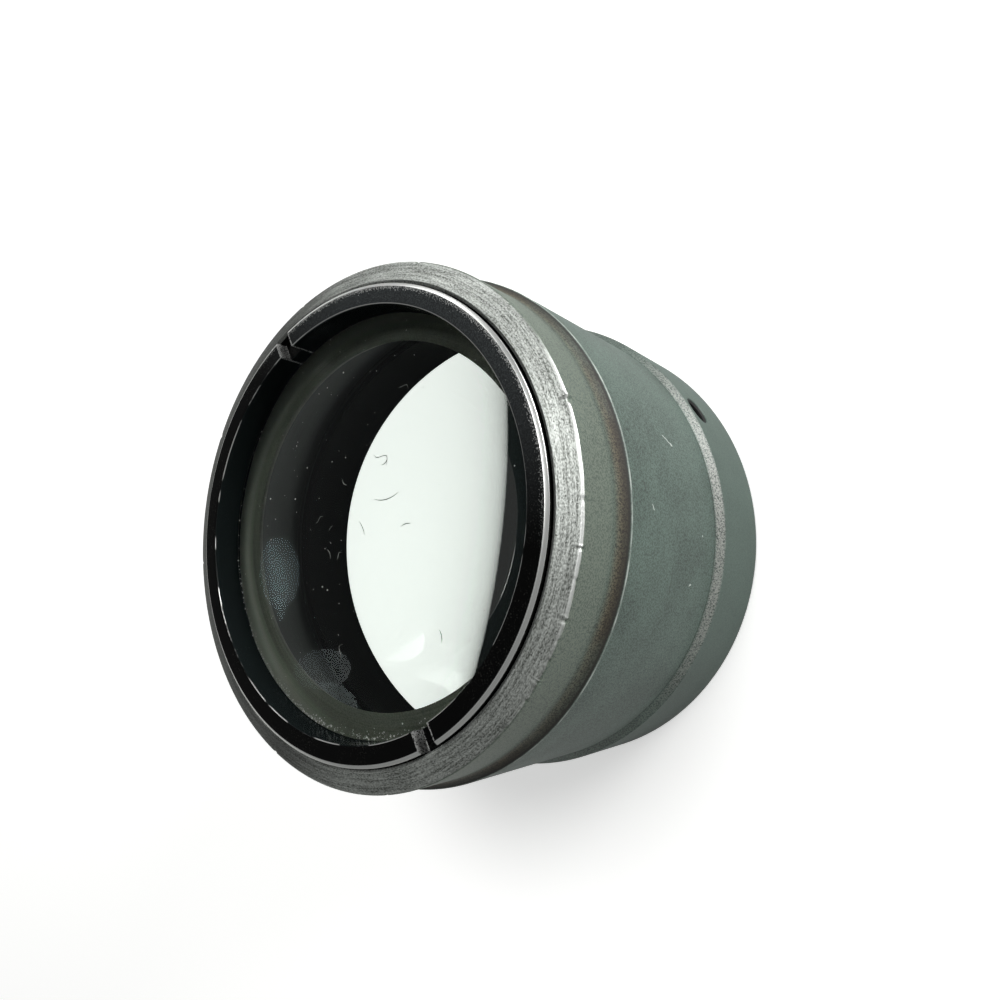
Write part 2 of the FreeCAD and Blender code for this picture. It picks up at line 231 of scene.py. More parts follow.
@dataclass(frozen=True)
class Scratch:
    """Short straight scratch or scuff on an outer band.

    Attributes:
        turn: Where it is round the axis, in degrees.
        height: Height of its middle, in mm.
        length: Its length, in mm.
        tilt: Angle between it and the direction round the axis, in degrees.
        width: Its width, in mm.
    """

    turn: float
    height: float
    length: float
    tilt: float
    width: float

    def mask(self, at: TurnedFields, radius: float) -> Socket:
        """One on the scratch and zero elsewhere.

        The point's offset from the middle is measured along and across the scratch by two dot
        products, and a third, along the radius, keeps the far side of the piece out.

        Args:
            at: Fields of the piece.
            radius: Radius of the band in mm.

        Returns:
            The mask.
        """
        turn, tilt = math.radians(self.turn), math.radians(self.tilt)
        out = (math.cos(turn), math.sin(turn), 0.0)
        run = (-math.sin(turn) * math.cos(tilt), math.cos(turn) * math.cos(tilt), math.sin(tilt))
        side = (math.sin(turn) * math.sin(tilt), -math.cos(turn) * math.sin(tilt), math.cos(tilt))
        middle = (out[0] * radius, out[1] * radius, self.height)
        vector = at.graph.vector
        offset = vector("SUBTRACT", at.wandering, middle)
        shares = []
        spans = ((run, self.length / 2, self.length / 3), (side, self.width / 2, self.width / 5))
        for axis, far, near in spans:
            distance = vector("DOT_PRODUCT", offset, axis, out="Value")
            shares.append(at.step(at.graph.math("ABSOLUTE", distance), far, near))
        level = vector("DOT_PRODUCT", offset, out, out="Value")
        return at.times(at.times(*shares), at.step(level, -2.0, -1.5))


@dataclass(frozen=True)
class PhosphatedSteel:
    """Turned steel with a grey-green phosphate coat, worn bare where it rubs.

    The coat is matt and finely crystalline, so it looks soft and a little speckled. Bare steel
    shows the lines of the turning tool, and damp has left brown rust in the cove.
    """

    coat_dark: str = "28332e"
    coat_light: str = "56685f"
    front_tone: str = "636c60"
    rear_tone: str = "384a42"
    steel_dark: str = "51544f"
    steel_light: str = "ced2cd"
    burnished_highlight: str = "e9ebe8"
    rust_and_shade_dark: str = "1c150d"
    rust_light: str = "5c523d"
    step_tone: str = "979692"
    # Dark tone of the pits, of the painted shade on the bare face and of the darker bands
    pit_and_shade_dark: str = "1b1a16"
    # Painted shade inside the lock hole
    blackened: str = "030403"
    scratch_light: str = "c4ccc6"
    scratch_dark: str = "2c312d"
    lip_highlight_tone: str = "b4bab4"
    middle_radius: float = 30.85
    rear_end: tuple[float, float] = (12.0, 11.6)
    front_start: tuple[float, float] = (37.2, 38.4)
    rust_start: tuple[float, float] = (35.5, 35.7)
    rust_end: tuple[float, float] = (38.2, 36.2)
    step_zone: tuple[float, float] = (11.95, 13.0)
    lip_highlight_zone: tuple[float, float] = (35.33, 35.5)
    corner_zone: tuple[float, float] = (43.3, 43.56)
    face_start: float = 43.36
    dark_band_zones: tuple[tuple[float, ...], ...] = ((35.54, 35.8, 0.08), (13.14, 13.28, 0.06))
    hole_height: float = 9.106
    # Side towards the lamps: wear lies there, painted light is laid on it and painted shade opposite it
    lit_worn_side: tuple[float, float, float] = (0.45, 0.89, 0.0)
    light_scratches: tuple[Scratch, ...] = (
        Scratch(77.0, 23.6, 2.6, 62.0, 0.18),
        Scratch(46.4, 19.4, 0.8, 80.0, 0.25),
        Scratch(57.0, 17.2, 0.4, 20.0, 0.22),
        Scratch(61.0, 30.6, 0.9, 35.0, 0.18),
        Scratch(118.0, 27.0, 3.4, 50.0, 0.2),
        Scratch(-64.0, 21.5, 4.2, -40.0, 0.22),
        Scratch(205.0, 26.0, 2.8, 65.0, 0.2),
        Scratch(262.0, 17.5, 1.8, 15.0, 0.3),
    )
    dark_scratches: tuple[Scratch, ...] = (
        Scratch(64.9, 32.3, 1.1, 12.0, 0.25),
        Scratch(47.5, 24.8, 3.8, 4.0, 0.2),
        Scratch(151.0, 30.5, 2.2, 30.0, 0.25),
        Scratch(-25.0, 28.8, 1.6, -20.0, 0.25),
    )

    def material(self) -> bpy.types.Material:
        """Builds the finish; its zones are set by radius and height on the cell."""
        at = TurnedFields("phosphated_steel")
        graph = at.graph
        # Phosphate crystals are about 0.03 mm, drawn here as 0.2 mm so that they show.
        crystals = at.grain(0.2, 2.0, 0.7)
        grain = at.streaks(0.26, 0.18, 0.0)
        lines = at.streaks(5.0, 0.3, 1.0)
        ridges = at.level(0.5, at.step(grain, 0.25, 0.75), at.step(lines, 0.25, 0.75))
        light = self.any_of(at, self.light_scratches)
        dark = self.any_of(at, self.dark_scratches)
        side = graph.vector("DOT_PRODUCT", at.around, self.lit_worn_side, out="Value")

        coat = self.coat(at, crystals)
        coat = at.blend(at.times(light, 0.8), coat, self.scratch_light)
        coat = at.blend(at.times(dark, 0.8), coat, self.scratch_dark)
        # The step chamfer's light worn tone is kept mostly to the side towards the lamps: worn steel with
        # painted light.
        lit_and_worn = at.level(at.step(side, 0.6, 0.99), 0.12, 0.75)
        step = at.times(at.band(at.height, *self.step_zone, 0.2), at.step(crystals, 0.3, 0.62))
        coat = at.blend(at.times(step, lit_and_worn), coat, self.step_tone)

        wander = at.level(at.streaks(8.0, 4.0, 3.0), -0.3, 0.3)
        edge = graph.math("ADD", at.height, wander)
        corner = at.times(at.band(edge, *self.corner_zone, 0.08), at.step(at.radius, 29.6, 29.75))
        # The burnished corner is whitest on the side towards the lamps: bare steel with a painted highlight
        # there.
        corner = at.times(corner, at.level(at.step(side, 0.8, 0.99), 0.1, 1.0))
        bare = at.most(at.step(at.height, self.face_start, self.face_start + 0.1), at.times(corner, 0.9))
        colour = at.blend(bare, coat, at.blend(corner, self.steel(at, ridges, side), self.burnished_highlight))

        rust, rust_colour = self.rust(at, crystals)
        colour = at.blend(rust, colour, rust_colour)
        # Darker bands just in front of the cove's lip and just in front of the step.
        dark_bands = at.most(*(at.band(at.height, *zone) for zone in self.dark_band_zones))
        colour = at.blend(at.times(dark_bands, 0.8), colour, self.pit_and_shade_dark)
        # Painted highlight: a thin light line round the edge of the cove's lip.
        lip_highlight = at.times(at.band(at.height, *self.lip_highlight_zone, 0.05), at.step(at.radius, 30.72, 30.8))
        lip_highlight = at.times(lip_highlight, at.level(at.step(at.streaks(3.0, 1.0), 0.42, 0.6), 0.35, 1.0))
        colour = at.blend(at.times(lip_highlight, 0.7), colour, self.lip_highlight_tone)
        hole = self.hole(at, side)
        # Painted shade: the inside of the lock hole is near black.
        colour = at.blend(hole, colour, self.blackened)

        covered = at.most(at.most(rust, dark_bands), at.most(lip_highlight, hole))
        rough = at.level(covered, at.level(bare, at.level(light, 0.5, 0.3), 0.46), 0.75)
        metal = at.level(covered, at.level(bare, 0.2, 0.8), 0.0)
        turned = at.most(bare, at.step(at.height, 0.3, 0.1))
        relief = at.level(turned, crystals, ridges)
        return at.finish(relief, 0.018, Base_Color=colour, Metallic=metal, Roughness=rough)

    def steel(self, at: TurnedFields, ridges: Socket, side: Socket) -> Socket:
        """Colour of the bare steel: ridged, pitted, and darker by painted shade on the side turned from the
        lamps.
        """
        steel = at.blend(ridges, self.steel_dark, self.steel_light)
        pits = at.times(at.step(at.grain(0.28, 2.0), 0.35, 0.3), 0.65)
        # Painted shade: the bare steel is darkened on the side turned from the lamps.
        painted_shade = at.times(at.step(side, 0.0, -0.45), 0.66)
        return at.blend(at.most(pits, painted_shade), steel, self.pit_and_shade_dark)

    def any_of(self, at: TurnedFields, scratches: Sequence[Scratch]) -> Socket:
        """One on any of the scratches."""
        total: Socket | float = 0.0
        for scratch in scratches:
            total = at.most(scratch.mask(at, self.middle_radius), total)
        return total

    def coat(self, at: TurnedFields, crystals: Socket) -> Socket:
        """Colour of the coat: cloudy and speckled, browner in front and greener behind."""
        speckle = at.step(crystals, 0.4, 0.58)
        clouds = at.grain(7.0, 3.0, 0.55)
        tone = at.level(0.72, at.step(clouds, 0.3, 0.7), speckle)
        coat = at.blend(tone, self.coat_dark, self.coat_light)
        front = at.times(at.step(at.height, *self.front_start), at.level(speckle, 0.25, 0.95))
        coat = at.blend(front, coat, self.front_tone)
        rear = at.step(at.height, *self.rear_end)
        return at.blend(at.times(rear, 0.6), coat, self.rear_tone)

    def hole(self, at: TurnedFields, side: Socket) -> Socket:
        """One inside the lock hole, which is painted near black as the shade inside it."""
        vector = at.graph.vector
        offset = vector("SUBTRACT", at.point, (0.0, 0.0, self.hole_height))
        offset = vector("MULTIPLY", offset, (1.0, 0.0, 1.0))
        distance = vector("LENGTH", offset, out="Value")
        below = at.times(at.step(distance, 2.1, 1.95), at.step(at.radius, 31.66, 31.55))
        return at.times(below, at.step(side, 0.5, 0.6))

    def rust(self, at: TurnedFields, crystals: Socket) -> tuple[Socket, Socket]:
        """Share and colour of the rust, darkest at the cove's rear and thinning out onto the front band;
        that darkening at the rear is part rust and part painted shade.
        """
        depth = at.times(at.step(at.height, *self.rust_end), at.step(at.height, *self.rust_start))
        blotch = at.step(at.streaks(10.0, 1.2, 4.0), 0.3, 0.62)
        share = at.times(depth, at.level(blotch, 0.55, 0.95))
        # Painted shade in the cove, with rust: the colour turns darker towards its rear, next to the lip.
        deep_rust_and_shade = at.step(at.height, 37.0, 35.9)
        tone = at.times(at.step(crystals, 0.36, 0.62), at.level(deep_rust_and_shade, 1.0, 0.2))
        return share, at.blend(tone, self.rust_and_shade_dark, self.rust_light)


@dataclass(frozen=True)
class BlackenedSteel:
    """Steel ring blackened in a hot bath: glossy, nearly black, worn bare on its edges, with a painted sheen
    on the side towards the lamps.
    """

    black: str = "030303"
    dusty: str = "3c3c38"
    painted_sheen: str = "3a3d3e"
    wall_tone: str = "141919"
    bare: str = "f2f3f0"
    bevel_inner: float = 26.62
    fringe_inner: float = 25.8
    bore: float = 24.63
    face: float = 44.998
    slot_angle: float = -1.8
    slot_half: float = 1.15
    # Side towards the lamps, where the ring has a painted sheen and bare edges
    sheen_wear_side: tuple[float, float, float] = (-0.53, 0.85, 0.0)

    def material(self) -> bpy.types.Material:
        """Builds the finish; the bevel, the inner edge and the walls of the slots are worn bare."""
        at = TurnedFields("blackened_steel")
        graph = at.graph
        specks = at.grain(0.16, 2.0)
        dust = at.times(at.step(specks, 0.6, 0.7), at.step(at.grain(6.0), 0.42, 0.62))
        near = at.step(at.height, self.face - 0.32, self.face - 0.24)
        side = graph.vector("DOT_PRODUCT", at.around, self.sheen_wear_side, out="Value")
        lit_and_worn = at.times(at.step(side, 0.3, 0.98), near)
        # Painted sheen: a speckled grey on the side towards the lamps stands in for their reflection on the
        # black face.
        painted_sheen = at.times(lit_and_worn, at.level(at.step(specks, 0.4, 0.6), 0.6, 1.0))
        wall = at.step(at.radius, self.bore + 0.08, self.bore + 0.02)
        colour = at.blend(at.times(dust, 0.4), self.black, self.dusty)
        colour = at.blend(painted_sheen, at.blend(wall, colour, self.wall_tone), self.painted_sheen)

        wear = at.most(self.worn_bevel(at, near), at.times(self.worn_edge(at, lit_and_worn), 0.6))
        ragged = at.step(at.radius, self.fringe_inner, self.bevel_inner)
        ragged = graph.math("MULTIPLY_ADD", ragged, 0.26, specks)
        fringe = at.times(at.step(ragged, 0.72, 0.8), lit_and_worn)
        walls = at.times(self.slot_walls(at, specks), 0.8)
        wear = at.most(wear, at.most(walls, at.times(fringe, 0.75)))
        return at.finish(
            specks,
            0.002,
            Base_Color=at.blend(wear, colour, self.bare),
            Metallic=wear,
            Roughness=at.level(at.most(wear, dust), 0.16, 0.3),
            Specular_IOR_Level=0.1,
        )

    def worn_bevel(self, at: TurnedFields, near: Socket) -> Socket:
        """One on the bevel where its black is gone, in long stretches."""
        bevel = at.times(at.step(at.radius, self.bevel_inner, self.bevel_inner + 0.07), near)
        return at.times(bevel, at.step(at.streaks(14.0, 3.0, 3.0), 0.26, 0.36))

    def worn_edge(self, at: TurnedFields, lit_and_worn: Socket) -> Socket:
        """One on the inner edge where it is bare: in short stretches, and all along the side towards the
        lamps.
        """
        edge = at.step(at.radius, self.bore + 0.12, self.bore + 0.05)
        edge = at.times(edge, at.step(at.height, self.face - 0.12, self.face - 0.05))
        return at.times(edge, at.most(at.step(at.streaks(5.0, 3.0, 3.0), 0.46, 0.54), lit_and_worn))

    def slot_walls(self, at: TurnedFields, specks: Socket) -> Socket:
        """One in specks along the walls of the slots."""
        turn = math.radians(self.slot_angle)
        square = (-math.sin(turn), math.cos(turn), 0.0)
        across = at.graph.vector("DOT_PRODUCT", at.point, square, out="Value")
        across = at.graph.math("ABSOLUTE", across)
        walls = at.band(across, self.slot_half - 0.05, self.slot_half + 0.12, 0.06)
        return at.times(walls, at.step(specks, 0.4, 0.52))


@dataclass(frozen=True)
class PlainCoat:
    """One matt or satin coat in two close tones, with the fine lines of turning under it.

    Attributes:
        name: Name of the material.
        dark: Its darker tone.
        light: Its lighter tone.
        roughness: Its roughness.
        gloss: Its specular level, where 0.5 is that of common paint.
        painted_light_tone: Lighter tone painted on towards its rim, away from the +X side, as light where
            the ring's shadow falls, or an empty text for none.
        painted_light_radii: Radii in mm between which it turns to that tone.
    """

    name: str
    dark: str
    light: str
    roughness: float
    gloss: float = 0.2
    painted_light_tone: str = ""
    painted_light_radii: tuple[float, float] = (0.0, 1.0)

    def material(self) -> bpy.types.Material:
        """Builds the finish."""
        at = TurnedFields(self.name)
        lines = at.streaks(20.0, 0.2, 3.0)
        grit = at.grain(0.15, 2.0)
        tone = at.level(0.5, at.step(lines, 0.3, 0.7), at.step(grit, 0.35, 0.65))
        colour = at.blend(tone, self.dark, self.light)
        # Painted light: the rim turns lighter, except on the +X side, to lift the shadow that the ring
        # casts.
        if self.painted_light_tone:
            across = at.graph.add("SeparateXYZ", {0: at.around}, out="X")
            share = at.times(at.step(at.radius, *self.painted_light_radii), at.step(across, 0.85, 0.1))
            colour = at.blend(share, colour, self.painted_light_tone)
        sockets = {"Roughness": self.roughness, "Specular_IOR_Level": self.gloss}
        return at.finish(lines, 0.003, Base_Color=colour, **sockets)


@dataclass(frozen=True)
class PolishedGlass:
    """Optical glass, ground and polished, with a coat that thins its reflections.

    Attributes:
        name: Kind of glass.
        ior: Its refractive index.
        tint: Colour that light takes on its way through.
        coat: Colour and share of what the coated surface still reflects.
    """

    name: str
    ior: float
    tint: str = "f7fbf8"
    coat: str = "434f54"

    def material(self) -> bpy.types.Material:
        """Builds the finish."""
        at = TurnedFields(self.name)
        return at.finish(
            None,
            0.0,
            Base_Color=linear(self.tint),
            Roughness=0.0,
            IOR=self.ior,
            Transmission_Weight=1.0,
            Specular_Tint=linear(self.coat),
        )


@dataclass(frozen=True)
class Corner:
    """Corner of a turned outline.

    Attributes:
        r: Radius in mm.
        z: Height in mm.
        ease: How far from the corner its rounding starts, in mm.
        layer: Finish of the stretch that starts here.
    """

    r: float
    z: float
    ease: float = 0.0
    layer: Layer = Layer.MAIN


@dataclass
class Outline:
    """Outline of a turned piece in the plane through its axis.

    Attributes:
        corners: Its corners in order.
        closed: Whether the last corner joins the first; an open one runs from axis to axis.
        step: Longest stretch between two points, in mm.
    """

    corners: Sequence[Corner]
    closed: bool = True
    step: float = 1.0

    def points(self) -> tuple[np.ndarray, np.ndarray]:
        """Works out the outline's points.

        A rounded corner is a parabola: the points (1-t)^2 a + 2t(1-t) c + t^2 b from the start a
        of the rounding through the pull of the corner c to its end b. Long stretches are then
        divided evenly.

        Returns:
            Radii and heights as an array of pairs, and the layer number of each stretch.
        """
        count = len(self.corners)
        places = np.array([(c.r, c.z) for c in self.corners])
        bends, layers = [], []
        for index, corner in enumerate(self.corners):
            middle = places[index]
            if corner.ease > 0:
                before = middle - places[index - 1]
                after = places[(index + 1) % count] - middle
                start = middle - before / np.linalg.norm(before) * corner.ease
                end = middle + after / np.linalg.norm(after) * corner.ease
                t = np.linspace(0, 1, 4)[:, None]
                bend = (1 - t) ** 2 * start + 2 * t * (1 - t) * middle + t**2 * end
            else:
                bend = middle[None]
            bends.append(bend)
            layers.append(np.full(len(bend), corner.layer.value))
        line, layer = np.concatenate(bends), np.concatenate(layers)
        follow = np.roll(line, -1, axis=0)
        spans = np.linalg.norm(follow - line, axis=1)
        parts = np.maximum(1, np.ceil(spans / self.step).astype(int))
        if not self.closed:
            parts[-1] = 1
        owner = np.repeat(np.arange(len(line)), parts)
        offset = np.arange(len(owner)) - np.repeat(np.cumsum(parts) - parts, parts)
        share = (offset / parts[owner])[:, None]
        return line[owner] + (follow[owner] - line[owner]) * share, layer[owner]


def arc_corners(
    centre: tuple[float, float], radius: float, start: float, end: float, count: int
) -> list[Corner]:
    """Corners along an arc: centre + radius x (cos, sin) of angles from start to end.

    Args:
        centre: Its centre, as radius and height in mm.
        radius: Its radius in mm.
        start: Angle of its first point, in radians.
        end: Angle of its last point, in radians.
        count: Number of points.

    Returns:
        The corners in order.
    """
    angles = np.linspace(start, end, count)
    radii = np.abs(centre[0] + radius * np.cos(angles))
    heights = centre[1] + radius * np.sin(angles)
    return [Corner(float(r), float(z)) for r, z in zip(radii, heights)]


def even_turns(count: int) -> np.ndarray:
    """Angles of evenly spaced columns, in radians."""
    return np.linspace(0, 2 * math.pi, count, endpoint=False)


def placed(name: str, data: bpy.types.ID) -> bpy.types.Object:
    """Puts an object made of the data into the scene, at the origin."""
    made = bpy.data.objects.new(name, data)
    bpy.context.scene.collection.objects.link(made)
    return made


def turned_object(
    name: str,
    outline: Outline,
    angles: np.ndarray,
    materials: Sequence[bpy.types.Material],
    shape: Shape | None = None,
) -> bpy.types.Object:
    """Turns an outline round the optical axis into a mesh object.

    A point of the surface is (r cos a, r sin a, z), where r and z run along the outline and a
    runs round the axis. The grid is closed by joining its last column to its first.

    Args:
        name: Name of the object.
        outline: The outline.
        angles: Angles of the columns, in radians, rising through less than a full turn.
        materials: Finishes, in the order of Layer.
        shape: Moves the points of the grid where the piece isn't round; takes and gives radii,
            heights and angles.

    Returns:
        The new object, at the origin.
    """
    points, layers = outline.points()
    radii = np.repeat(points[:, :1], len(angles), axis=1)
    heights = np.repeat(points[:, 1:], len(angles), axis=1)
    turns = np.repeat(angles[None, :], len(points), axis=0)
    if shape is not None:
        radii, heights, turns = shape(radii, heights, turns)
    grid = np.stack([radii * np.cos(turns), radii * np.sin(turns), heights], axis=-1)
    rows, columns = radii.shape
    row = np.arange(rows if outline.closed else rows - 1)[:, None]
    column = np.arange(columns)[None, :]
    right = (column + 1) % columns
    below = (row + 1) % rows
    ends = [(row, column), (row, right), (below, right), (below, column)]
    quads = np.stack([line * columns + place for line, place in ends], axis=-1).reshape(-1, 4)
    mesh = bpy.data.meshes.new(name)
    mesh.from_pydata((grid.reshape(-1, 3) * MM).tolist(), [], quads.tolist())
    mesh.polygons.foreach_set("material_index", np.repeat(layers[row[:, 0]], columns).astype(np.int32))
    for material in materials:
        mesh.materials.append(material)
    tidy = bmesh.new()
    tidy.from_mesh(mesh)
    bmesh.ops.remove_doubles(tidy, verts=tidy.verts, dist=MERGE_DISTANCE)
    bmesh.ops.dissolve_degenerate(tidy, edges=tidy.edges, dist=MERGE_DISTANCE)
    bmesh.ops.recalc_face_normals(tidy, faces=tidy.faces)
    tidy.to_mesh(mesh)
    tidy.free()
    mesh.shade_smooth()
    mesh.set_sharp_from_angle(angle=math.radians(CREASE_DEGREES))
    return placed(name, mesh)


def install(piece: bpy.types.Object, node: str) -> None:
    """Makes a piece stand for a CAD node and ride with it."""
    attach(piece, BODY)
    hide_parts(node)
    LOG.info("%s: %d faces for node %s", piece.name, len(piece.data.polygons), node)


@dataclass(frozen=True)
class Nick:
    """Nick in the outer front corner of the cell.

    Attributes:
        turn: Where it is round the axis, in degrees.
        width: Half its width, in mm.
        depth: Its depth, in mm.
        reach: How far it reaches from the corner, in mm.
        burr: Height of the burr beside it, as a share of the depth.
    """

    turn: float
    width: float
    depth: float
    reach: float = 0.4
    burr: float = 0.25


@dataclass(frozen=True)
class LockHole:
    """Blind hole in the rear band, drilled towards the axis. Sizes are in mm."""

    turn: float = 90.0
    height: float = 9.106
    radius: float = 1.75
    depth: float = 3.2
    point: float = 1.05
    countersink: float = 0.35
    round_zone: float = 2.2
    patch: float = 2.7
    band: float = 31.7

    def lines(self) -> np.ndarray:
        """Distances from the middle of the hole at which the grid needs a line, on both sides."""
        floor = np.arange(0.0, self.radius - 0.1, 0.3)
        wall = [self.radius - 0.004, self.radius, self.radius + self.countersink]
        out = np.concatenate([floor, wall, [2.3, 2.5, self.patch]])
        return np.unique(np.concatenate([-out, out]))

    def drill(self, radii: np.ndarray, heights: np.ndarray, angles: np.ndarray) -> Grid:
        """Turns the squares of the grid round the hole into circles and sinks those within it.

        With u and v the distances from the middle, a point's ring is m = max(|u|, |v|). It moves
        to (u, v) m / sqrt(u^2 + v^2), less and less so from m = 2.2 mm to the edge of the patch.
        Its depth then goes with m: countersink, wall, and the cone that the drill's point leaves.

        Takes and returns the radii, heights and angles of the grid.
        """
        turn = math.radians(self.turn)
        across = (angles - turn) * self.band
        up = heights - self.height
        ring = np.maximum(np.abs(across), np.abs(up))
        near = (ring < self.patch) & (np.abs(radii - self.band) < 0.02)
        length = np.maximum(np.hypot(across, up), 1e-9)
        share = np.clip((self.patch - ring) / (self.patch - self.round_zone), 0, 1)
        scale = np.where(near, 1 + share * (ring / length - 1), 1.0)
        reach = [0.0, self.radius - 0.004, self.radius, self.radius + self.countersink]
        depths = [self.depth + self.point, self.depth, self.countersink, 0.0]
        sink = np.where(near, np.interp(ring, reach, depths), 0.0)
        return radii - sink, self.height + up * scale, turn + across * scale / self.band


@dataclass
class Cell:
    """One-piece turned steel cell that holds the glass. Sizes are in mm."""

    rear_bore_radius: float = 25.2
    mouth_chamfer: float = 1.4
    seat: float = 10.1
    bore_radius: float = 26.4
    thread_radius: float = 27.15
    front_radius: float = 30.0
    middle_radius: float = 30.85
    rear_radius: float = 31.7
    step_foot: float = 11.906
    step_head: float = 13.106
    cove_lip: float = 35.456
    cove_root: float = 37.548
    cove_radius: float = 3.0
    front_edge: float = 43.398
    mouth: float = 44.42
    thread_floor: float = 40.6
    columns: int = 720
    hole: LockHole = LockHole()
    nicks: tuple[Nick, ...] = (
        Nick(79.1, 0.4, 0.2, 0.6, 0.6),
        Nick(60.1, 0.35, 0.05),
        Nick(51.5, 0.2, 0.1, 0.45, 0.6),
        Nick(45.9, 0.3, 0.04),
        Nick(38.5, 0.26, 0.14, 0.5, 0.5),
        Nick(34.7, 0.25, 0.04),
        Nick(30.5, 0.35, 0.06),
        Nick(26.2, 0.15, 0.1, 0.5, 0.6),
        Nick(22.0, 0.3, 0.1, 0.4, 0.5),
        Nick(15.2, 0.3, 0.05),
        Nick(104.0, 0.2, 0.07),
        Nick(133.0, 0.25, 0.1),
        Nick(171.0, 0.2, 0.08),
        Nick(214.0, 0.3, 0.1),
        Nick(248.0, 0.16, 0.08),
        Nick(305.0, 0.25, 0.09),
        Nick(341.0, 0.2, 0.08),
    )

    def outline(self) -> Outline:
        """Outline of the cell, from its rear mouth outwards and forwards, and back through its bore.

        The plain corners on the front band and the front face are there for the nicks.
        """
        cove_centre = (self.front_radius + self.cove_radius, self.cove_root)
        lip_angle = math.atan2(self.cove_lip - self.cove_root, self.middle_radius - cove_centre[0])
        cove = arc_corners(cove_centre, self.cove_radius, lip_angle, -math.pi, 14)
        return Outline(
            [
                Corner(self.rear_bore_radius + self.mouth_chamfer, 0.0, 0.05),
                Corner(self.rear_radius - 0.4, 0.0, 0.1),
                Corner(self.rear_radius, 0.4, 0.1),
                *(Corner(self.rear_radius, self.hole.height + float(line)) for line in self.hole.lines()),
                Corner(self.rear_radius, self.step_foot, 0.08),
                Corner(self.middle_radius, self.step_head, 0.05),
                Corner(self.middle_radius, self.cove_lip - 0.06, 0.05),
                *cove[1:],
                Corner(self.front_radius, 42.2),
                Corner(self.front_radius, 42.7),
                Corner(self.front_radius, 43.0),
                Corner(self.front_radius, self.front_edge - 0.12, 0.08),
                Corner(self.front_radius - 0.16, self.front_edge + 0.07, 0.08),
                Corner(29.6, 43.569),
                Corner(29.3, 43.693),
                Corner(28.9, 43.858),
                Corner(self.thread_radius + 0.38, self.mouth, 0.06),
                Corner(self.thread_radius, self.mouth - 0.25, 0.05, Layer.EDGE),
                Corner(self.thread_radius, self.thread_floor, 0.0, Layer.EDGE),
                Corner(self.bore_radius, self.thread_floor, 0.0, Layer.EDGE),
                Corner(self.bore_radius, self.seat, 0.0, Layer.EDGE),
                Corner(self.rear_bore_radius, self.seat, 0.0, Layer.EDGE),
                Corner(self.rear_bore_radius, self.mouth_chamfer, 0.05, Layer.EDGE),
            ],
            step=4.0,
        )

    def column_angles(self) -> np.ndarray:
        """Angles of the columns: even all round, and closer together at each nick."""
        even = even_turns(self.columns)
        spread = np.linspace(-2.5, 2.5, 9) / self.front_radius
        close = [math.radians(nick.turn) + spread * nick.width for nick in self.nicks]
        hole = math.radians(self.hole.turn) + self.hole.lines() / self.hole.band
        even = even[(even < hole[0] - 1e-3) | (even > hole[-1] + 1e-3)]
        return np.unique(np.round(np.mod(np.concatenate([even, hole, *close]), 2 * math.pi), 7))

    def dent(self, radii: np.ndarray, heights: np.ndarray, angles: np.ndarray) -> Grid:
        """Presses the nicks into the front corner and raises a burr beside each.

        With x the distance round the axis in nick widths and d the distance to the corner in mm,
        a point moves inwards and back by depth (e^(-x^2) - burr e^(-4 (x - 1.3)^2)) e^(-(d / reach)^2).

        Takes and returns the radii, heights and angles of the grid.
        """
        away = np.hypot(radii - self.front_radius, heights - self.front_edge)
        outer = radii > 28.0
        push = np.zeros_like(radii)
        for nick in self.nicks:
            turn = np.angle(np.exp(1j * (angles - math.radians(nick.turn))))
            x = turn * self.front_radius / nick.width
            press = np.exp(-(x**2)) - nick.burr * np.exp(-4 * (x - 1.3) ** 2)
            push += nick.depth * press * np.exp(-((away / nick.reach) ** 2)) * outer
        return self.hole.drill(radii - push, heights - 0.8 * push, angles)

    def build(self) -> None:
        """Makes the piece and dresses it."""
        steel = PhosphatedSteel().material()
        bore = PlainCoat("bore_matt_black", "040504", "0b0d0c", 0.8, 0.1).material()
        angles = self.column_angles()
        piece = turned_object("lens_cell", self.outline(), angles, [steel, bore], self.dent)
        install(piece, "cell")


